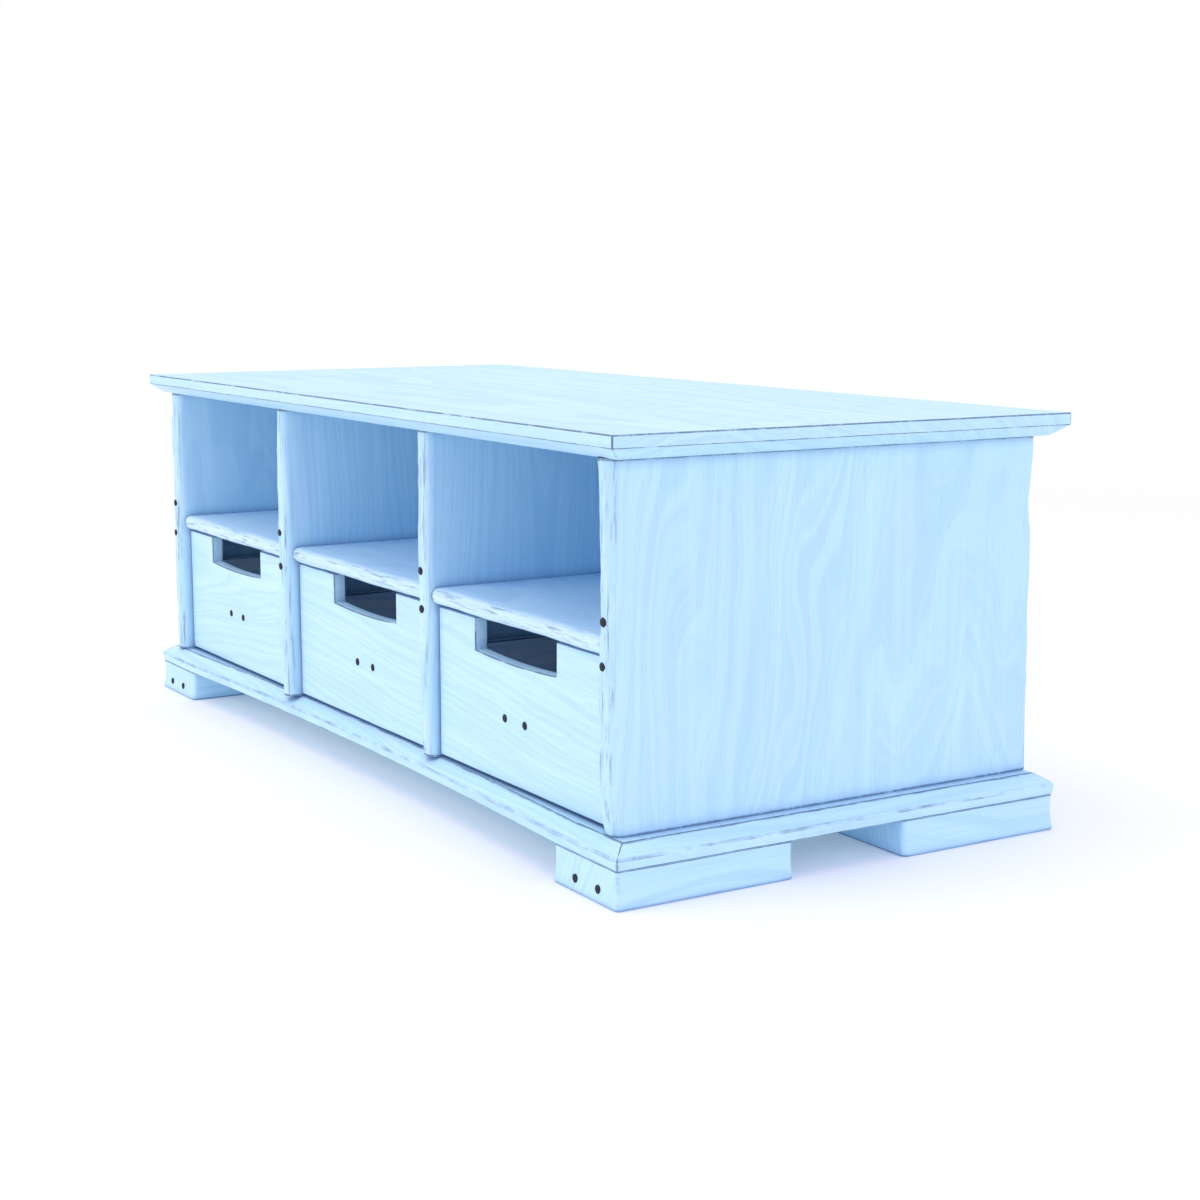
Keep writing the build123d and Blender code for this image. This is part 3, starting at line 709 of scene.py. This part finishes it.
def painted_wood(name, axis, seed, tone=1.0, paint=PAINT_OUTSIDE, crevice_shade=0.75, round_edge=None):
    """Pale blue paint over wood: grain telegraphs through, brush marks follow the grain.

    Sharp edges are rubbed through to a dark undercoat. round_edge, two distances from the middle of the
    depth, is where a broad rounded edge begins and ends, and that is rubbed in streaks. crevice_shade is
    how much painted shade, a deep blue, is mixed into corners and creases.
    """
    n = Nodes(name)
    rings, fibres, pores, shift = wood_figure(n, axis, seed)
    patches = n.noise((3.2, 3.2, 3.2), 3, 0.6, shift)
    streaks = n.noise(along(axis, 1.3, 60), 4, 0.6, shift)
    brush = n.noise(along(axis, 3, 240), 2, 0.5, shift)

    paint = tuple(tone * channel for channel in paint) + (1,)
    deep = (0.36 * tone, 0.62 * tone, 0.84 * tone, 1)
    pore = (0.22 * tone, 0.45 * tone, 0.62 * tone, 1)
    pale = (0.72, 0.93, 0.975, 1)
    colour = n.mix(n.math("MULTIPLY", rings, 0.30), paint, deep)
    colour = n.mix(n.spread(fibres, 0.50, 0.80, 0.0, 0.30), colour, deep)
    colour = n.mix(n.spread(streaks, 0.50, 0.80, 0.0, 0.40), colour, pale)
    colour = n.mix(n.spread(patches, 0.45, 0.75, 0.0, 0.16), colour, deep)
    colour = n.mix(n.spread(pores, 0.62, 0.74, 0.0, 0.28), colour, pore)

    sharpness = n.add("Attribute", {"attribute_name": "sharpness"}).outputs["Fac"]
    edge = n.spread(sharpness, 0.10, 0.52)
    rub = n.noise((38, 38, 38), 4, 0.65, shift)
    scuff = n.noise(along(axis, 16, 300), 4, 0.65, shift)
    strength = n.math("MULTIPLY", edge, n.spread(rub, 0.32, 0.68, 0.58, 1.25))
    strength = n.math("ADD", strength, n.spread(scuff, 0.30, 0.70, -0.20, 0.20))
    worn = n.spread(strength, 0.35, 0.85)
    if round_edge:
        depth = n.add("SeparateXYZ", Vector=n.place((1, 1, 1))).outputs[1]
        reach = n.spread(n.math("ABSOLUTE", depth), round_edge[0], round_edge[1])
        rubbed = n.math("MULTIPLY", reach, n.spread(scuff, 0.53, 0.66, 0.0, 0.75))
        worn = n.math("MAXIMUM", worn, rubbed)
    colour = n.mix(n.math("MULTIPLY", worn, 0.80), colour, UNDERCOAT)
    # Painted shade: an ambient occlusion mask darkens corners and creases towards a deep blue.
    crevice = n.add("AmbientOcclusion", {"samples": 4}, Distance=14 * MM)
    shade = n.spread(crevice.outputs["AO"], 0.30, 0.85, crevice_shade, 0.0)
    colour = n.mix(shade, colour, CREVICE_SHADE)

    n.put(n.shader.inputs["Base Color"], colour)
    rough = n.math("ADD", n.spread(fibres, 0.3, 0.7, 0.36, 0.50), n.math("MULTIPLY", worn, 0.2))
    n.put(n.shader.inputs["Roughness"], rough)
    n.shader.inputs["Specular IOR Level"].default_value = 0.38
    normal = n.bump(rings, 0.12 * MM, 0.5)
    normal = n.bump(fibres, 0.30 * MM, 0.5, normal)
    normal = n.bump(brush, 0.25 * MM, 0.45, normal)
    n.put(n.shader.inputs["Normal"], normal)
    return n.material


def bare_wood(name, axis, seed, tones, rough):
    """Unpainted wood in two tones, light and dark."""
    light, dark = tones
    n = Nodes(name)
    rings, fibres, pores, _ = wood_figure(n, axis, seed)
    grain = n.math("ADD", n.math("MULTIPLY", rings, 0.5), n.math("MULTIPLY", fibres, 0.5))
    colour = n.mix(n.spread(grain, 0.25, 0.8), light, dark)
    pore = tuple(0.5 * channel for channel in dark[:3]) + (1,)
    colour = n.mix(n.spread(pores, 0.60, 0.72, 0.0, 0.5), colour, pore)
    n.put(n.shader.inputs["Base Color"], colour)
    n.put(n.shader.inputs["Roughness"], n.spread(fibres, 0.3, 0.7, rough - 0.08, rough + 0.10))
    n.put(n.shader.inputs["Normal"], n.bump(fibres, 0.3 * MM, 0.6, n.bump(rings, 0.2 * MM, 0.5)))
    return n.material


def plain_steel(name):
    n = Nodes(name)
    turned = n.noise((300, 300, 1800), 3, 0.5)
    n.put(n.shader.inputs["Base Color"], n.mix(turned, (0.42, 0.42, 0.43, 1), (0.62, 0.62, 0.63, 1)))
    n.shader.inputs["Metallic"].default_value = 1.0
    n.put(n.shader.inputs["Roughness"], n.spread(turned, 0.3, 0.7, 0.28, 0.45))
    n.put(n.shader.inputs["Normal"], n.bump(turned, 0.05 * MM, 0.4))
    return n.material


def coat(piece, material):
    piece.data.materials.clear()
    piece.data.materials.append(material)


# ---- stage, light and camera -----------------------------------------------------
def build_stage():
    size = 14
    mesh = bpy.data.meshes.new("floor")
    corners = [(-size, -size, 0), (size, -size, 0), (size, size, 0), (-size, size, 0)]
    mesh.from_pydata(corners, [], [(0, 1, 2, 3)])
    floor = bpy.data.objects.new("floor", mesh)
    bpy.context.scene.collection.objects.link(floor)
    n = Nodes("floor_white")
    fine = n.noise((30, 30, 30), 3)
    n.put(n.shader.inputs["Base Color"], n.mix(fine, (0.95, 0.95, 0.95, 1), (0.97, 0.97, 0.97, 1)))
    n.shader.inputs["Roughness"].default_value = 0.75
    n.shader.inputs["Specular IOR Level"].default_value = 0.1
    place = n.add("SeparateXYZ", Vector=n.add("TexCoord").outputs["Object"])
    far = n.distance(place.outputs[0], place.outputs[1])
    glow = n.add("Emission", Color=(1, 1, 1, 1), Strength=1.0)
    join = n.add("MixShader")
    n.put(join.inputs[0], n.spread(far, 1.1, 3.6, 0.12, 1.0))
    n.put(join.inputs[1], n.shader.outputs[0])
    n.put(join.inputs[2], glow.outputs[0])
    n.put(n.tree.nodes["Material Output"].inputs["Surface"], join.outputs[0])
    coat(floor, n.material)


def area_light(name, place, aim, size, power, colour):
    data = bpy.data.lights.new(name, "AREA")
    data.shape = "DISK"
    data.size = size
    data.energy = power
    data.color = colour
    lamp = bpy.data.objects.new(name, data)
    lamp.location = place
    lamp.rotation_mode = "QUATERNION"
    lamp.rotation_quaternion = (Vector(aim) - Vector(place)).to_track_quat("-Z", "Y")
    bpy.context.scene.collection.objects.link(lamp)


def build_light():
    world = bpy.data.worlds.new("studio")
    bpy.context.scene.world = world
    world.use_nodes = True
    tree = world.node_tree
    tree.nodes.clear()
    sky = tree.nodes.new("ShaderNodeBackground")
    sky.inputs[0].default_value = (0.69, 0.71, 1.06, 1)
    sky.inputs[1].default_value = 1.08
    backdrop = tree.nodes.new("ShaderNodeBackground")
    backdrop.inputs[0].default_value = (1, 1, 1, 1)
    backdrop.inputs[1].default_value = 1.0
    path = tree.nodes.new("ShaderNodeLightPath")
    choose = tree.nodes.new("ShaderNodeMixShader")
    out = tree.nodes.new("ShaderNodeOutputWorld")
    tree.links.new(path.outputs["Is Camera Ray"], choose.inputs[0])
    tree.links.new(sky.outputs[0], choose.inputs[1])
    tree.links.new(backdrop.outputs[0], choose.inputs[2])
    tree.links.new(choose.outputs[0], out.inputs[0])
    target = (0, 0, 0.2)
    area_light("overhead", (-0.3, -0.4, 4.5), target, 5.0, 96, (1.0, 0.86, 0.42))
    area_light("front", (-1.6, -5.0, 2.4), target, 4.0, 84, (0.98, 0.88, 0.56))
    area_light("side", (5.0, 0.6, 2.0), target, 3.5, 34, (1.0, 0.96, 0.60))


def build_camera():
    data = bpy.data.cameras.new("camera")
    data.sensor_width = 36
    data.lens = 61.35
    data.clip_start = 0.05
    data.clip_end = 100
    camera = bpy.data.objects.new("camera", data)
    camera.location = (2.1211, -1.2210, 0.5823)
    camera.rotation_euler = (math.radians(90 - 9.274), 0, math.radians(58.4535))
    bpy.context.scene.collection.objects.link(camera)
    bpy.context.scene.camera = camera


# ---- the whole -----------------------------------------------------------------
def build_painted(seed):
    """Every painted piece, with the axis its grain runs along and the tone of its paint; the top's darker
    tone is painted shade.
    """
    # The top's paint is a touch darker, painted shade that tempers the bright overhead light on it.
    made = [(build_top(), 0, 0.97)]
    for number, node in enumerate(SLABS):
        made.append((build_slab(node, seed + 10 * number), 2, 0.98))
    for number, bay in enumerate(BAYS):
        made.append((build_shelf(bay, seed + 50 + number), 0, 1.0))
        back = board(
            bay + "_back_board", bay + "_back_panel", "carcass", easing=0.8 * MM
        )
        made.append((back, 0, 0.98))
    floor_board = board(
        "plinth_board", "bottom_board", "carcass", easing=0.8 * MM, shape=bowed_board
    )
    made.append((floor_board, 0, 0.98))
    for number, side in enumerate(("front", "right", "back", "left")):
        axis = 0 if side in ("front", "back") else 1
        made.append((build_rail(side, seed + 70 + number), axis, 1.0))
    for number, corner in enumerate(CORNERS):
        made.append((build_foot(corner, seed + 80 + number), 1, 1.0))
    for number, bay in enumerate(BAYS):
        for name, piece in build_drawer(bay, seed + 90 + number).items():
            made.append((piece, 1 if "side" in name else 0, 1.0))
    return made


def paint_all(made, seed):
    for number, (piece, axis, tone) in enumerate(made):
        # Outside paint, and how strong the painted shade in corners and creases is.
        paint, crevice_shade = PAINT_OUTSIDE, 0.75
        if piece.name.endswith("_shelf_board"):
            # Shelves get the paler paint, painted light that lifts the shade in the bays.
            paint = SHELF_PAINT_AND_LIGHT
        elif "_drawer_" in piece.name and piece.name.endswith("_board"):
            # Inside the drawers: near-white paint and weaker painted shade in corners, as painted light
            # that brightens their shaded insides.
            paint, crevice_shade = DRAWER_INSIDE_PAINT_AND_LIGHT, 0.35
        rounded = [reach for end, reach in ROUND_EDGES.items() if piece.name.endswith(end)]
        round_edge = rounded[0] if rounded else None
        name = "paint_" + piece.name
        coat(piece, painted_wood(name, axis, seed + number, tone, paint, crevice_shade, round_edge))


def build_all_pegs():
    peg_wood = bare_wood("peg_wood", 1, 7, PEG_WOOD, 0.70)
    for number, bay in enumerate(BAYS):
        body = bay + "_drawer"
        coat(build_pegs(body + "_peg_heads", body + "_pegs", body, 5 + number), peg_wood)
    coat(build_pegs("slab_peg_heads", "slab_edge_pegs", "carcass", 15), peg_wood)
    coat(build_pegs("foot_peg_heads", "foot_pegs", "carcass", 16), peg_wood)


def coat_joinery():
    """The hidden joinery stays as the CAD has it and gets bare wood and steel."""
    oak = bare_wood("oak", 1, 9, OAK, 0.55)
    for bay in BAYS:
        coat(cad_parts[bay + "_runners"], oak)
        coat(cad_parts[bay + "_stops"], oak)
    for node in ("top_dowels", "base_dowels", "mitre_splines"):
        coat(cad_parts[node], oak)
    coat(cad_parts["foot_screws"], plain_steel("screw_steel"))


paint_all(build_painted(100), 300)
build_all_pegs()
coat_joinery()
build_stage()
build_light()
build_camera()
bpy.context.scene.view_settings.view_transform = "Standard"
bpy.context.scene.cycles.diffuse_bounces = 12
